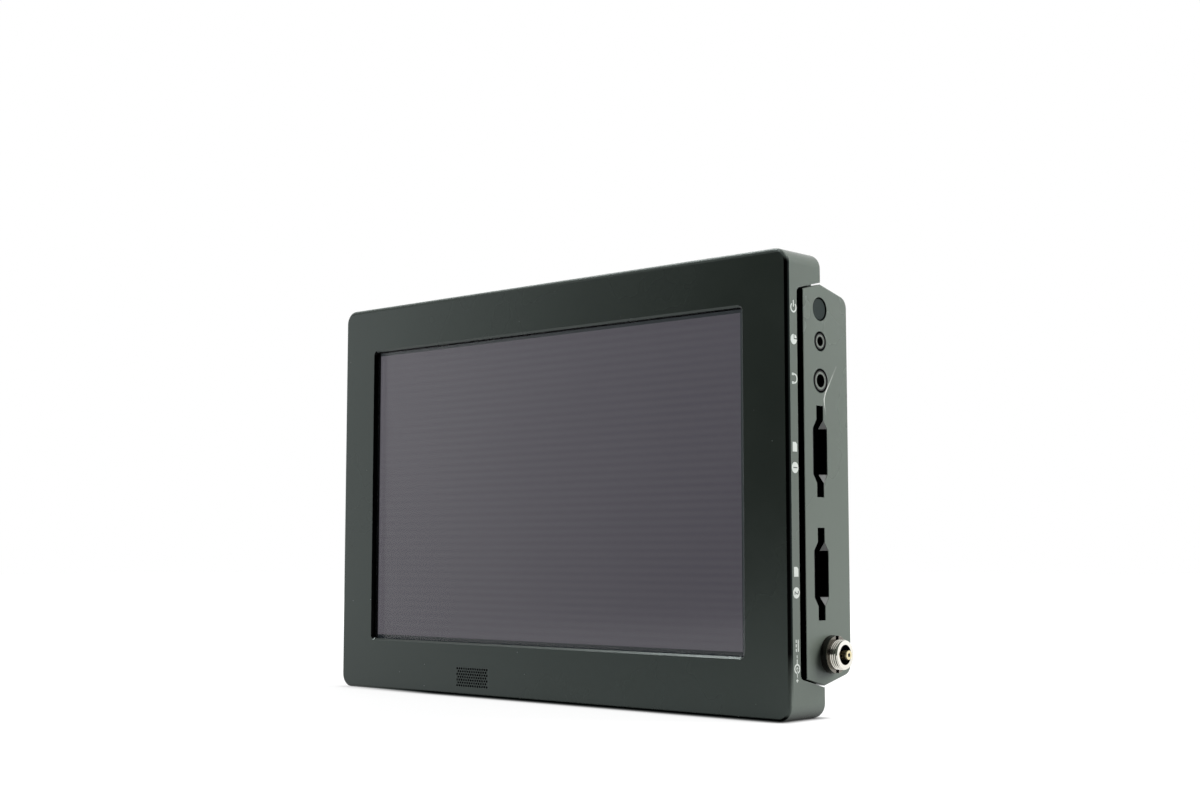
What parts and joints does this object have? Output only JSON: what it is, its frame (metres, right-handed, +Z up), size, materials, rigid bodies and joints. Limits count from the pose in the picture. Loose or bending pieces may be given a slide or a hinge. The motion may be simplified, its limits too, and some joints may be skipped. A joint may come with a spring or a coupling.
{
  "type": "recording monitor",
  "caption": "Flat field recording monitor: wide screen in a rounded metal frame, rear hump with battery plates, side panels with card slots, jacks, video sockets and a push button.",
  "frame": {"origin": "mouth of the middle thread in the bottom edge", "axes": "+X to the viewer's right, +Y from the screen to the back, +Z up"},
  "size_m": [0.2028, 0.0383, 0.1275],
  "materials": {
    "housing_paint": "satin dark grey paint",
    "panel_paint": "satin dark grey paint",
    "cover_plastic": "fine texture",
    "screen_glass": "polished",
    "display_dark": "dark display",
    "diffuser": "diffusing",
    "sheet_steel": "plated sheet",
    "nickel": "nickel plated",
    "gold": "gold plated",
    "brass": "bare",
    "black_steel": "black oxide",
    "aluminium": "milled",
    "black_plastic": "moulded",
    "grey_plastic": "satin",
    "white_plastic": "moulded",
    "board": "solder resist",
    "foam": "foam",
    "ribbon_film": "polyimide film",
    "spring_steel": "spring temper"
  },
  "bodies": {
    "monitor": {"front_housing": "housing_paint", "speaker_grille": "housing_paint", "right_panel": "panel_paint", "left_panel": "panel_paint", "rear_cover": "cover_plastic", "cover_glass": "screen_glass", "lcd_panel": "display_dark", "backlight": "diffuser", "display_chassis": "sheet_steel", "card_reader_upper": "sheet_steel", "card_reader_lower": "sheet_steel", "digital_socket_in": "sheet_steel", "digital_socket_out": "sheet_steel", "data_socket": "sheet_steel", "board_standoffs": "sheet_steel", "power_socket_barrel": "nickel", "coax_socket_in": "nickel", "coax_socket_out": "nickel", "coax_nuts": "nickel", "battery_contacts": "gold", "coax_contacts": "gold", "mini_audio_pins": "gold", "power_socket_pin": "brass", "thread_inserts": "brass", "chassis_screws": "black_steel", "cover_screws": "black_steel", "board_screws": "black_steel", "fan_screws": "black_steel", "plate_screws": "black_steel", "power_socket_washer": "black_steel", "heat_sink": "aluminium", "battery_plate_left": "black_plastic", "battery_plate_right": "black_plastic", "power_switch": "black_plastic", "fan_frame": "black_plastic", "digital_tongues": "black_plastic", "data_tongue": "black_plastic", "power_socket_insulator": "black_plastic", "speaker_driver": "black_plastic", "processor": "black_plastic", "mini_audio_socket_1": "black_plastic", "mini_audio_socket_2": "black_plastic", "power_socket_nut": "black_plastic", "headphone_jack": "grey_plastic", "remote_jack": "grey_plastic", "coax_insulators": "white_plastic", "ribbon_connector": "white_plastic", "main_board": "board", "screen_gasket": "foam", "speaker_gasket": "foam", "thermal_pad": "foam", "display_ribbon": "ribbon_film", "latch_spring_left": "spring_steel", "latch_spring_right": "spring_steel"},
    "power_button": {"power_button": "grey_plastic"},
    "upper_card_slider": {"card_slider_upper": "black_plastic"},
    "lower_card_slider": {"card_slider_lower": "black_plastic"},
    "left_battery_latch": {"battery_latch_left": "grey_plastic"},
    "right_battery_latch": {"battery_latch_right": "grey_plastic"},
    "fan": {"fan_rotor": "black_plastic"}
  },
  "joints": [
    {"name": "power_press", "type": "slide", "parent": "monitor", "child": "power_button", "axis": [-1, 0, 0], "range_m": [0, 0.0006], "stiffness_N_per_m": 300},
    {"name": "upper_card_push", "type": "slide", "parent": "monitor", "child": "upper_card_slider", "axis": [-1, 0, 0], "range_m": [0, 0.003], "stiffness_N_per_m": 150},
    {"name": "lower_card_push", "type": "slide", "parent": "monitor", "child": "lower_card_slider", "axis": [-1, 0, 0], "range_m": [0, 0.003], "stiffness_N_per_m": 150},
    {"name": "left_latch_press", "type": "slide", "parent": "monitor", "child": "left_battery_latch", "axis": [0, -1, 0], "range_m": [0, 0.0018], "stiffness_N_per_m": 500, "deforming": ["latch_spring_left"]},
    {"name": "right_latch_press", "type": "slide", "parent": "monitor", "child": "right_battery_latch", "axis": [0, -1, 0], "range_m": [0, 0.0018], "stiffness_N_per_m": 500, "deforming": ["latch_spring_right"]},
    {"name": "fan_spin", "type": "hinge", "parent": "monitor", "child": "fan", "pos_m": [0, 0.0148, 0.0819], "axis": [0, 1, 0], "continuous": true}
  ]
}
